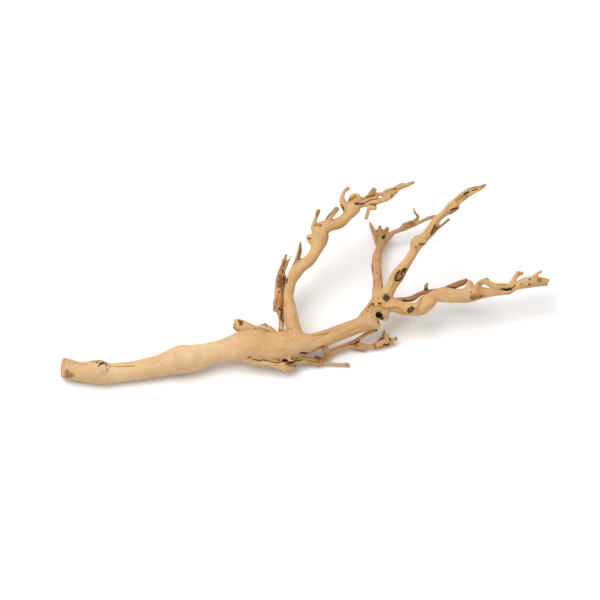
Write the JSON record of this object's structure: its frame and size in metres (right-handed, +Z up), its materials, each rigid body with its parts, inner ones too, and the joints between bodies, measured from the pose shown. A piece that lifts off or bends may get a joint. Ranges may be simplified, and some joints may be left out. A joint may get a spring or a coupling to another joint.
{
  "type": "fallen tree branch",
  "caption": "Dry, bark-free fallen tree branch with a sawn butt, a gnarled burl and forked, twiggy limbs, resting on the ground.",
  "frame": {"origin": "middle of the branch's outline seen from above, at ground level", "axes": "+X along the branch from the sawn butt to the limb tips, +Z up, +Y towards the side that the fan of limbs rises to"},
  "size_m": [0.5882, 0.2369, 0.144],
  "materials": {
    "trunk_wood": "dry, sand-worn bare wood, matt, flowing grain with dark knots",
    "limb_wood": "dry, sand-worn bare wood, matt, dark knots and amber hollows",
    "weathered_wood": "browner, rougher bare wood, matt, fibrous where it split"
  },
  "bodies": {
    "root": {"trunk": "trunk_wood", "left_limb": "limb_wood", "centre_limb": "limb_wood", "right_limb": "limb_wood", "back_limb": "weathered_wood", "right_back_twig": "weathered_wood", "under_twig": "weathered_wood", "split_spur": "weathered_wood"}
  },
  "joints": []
}
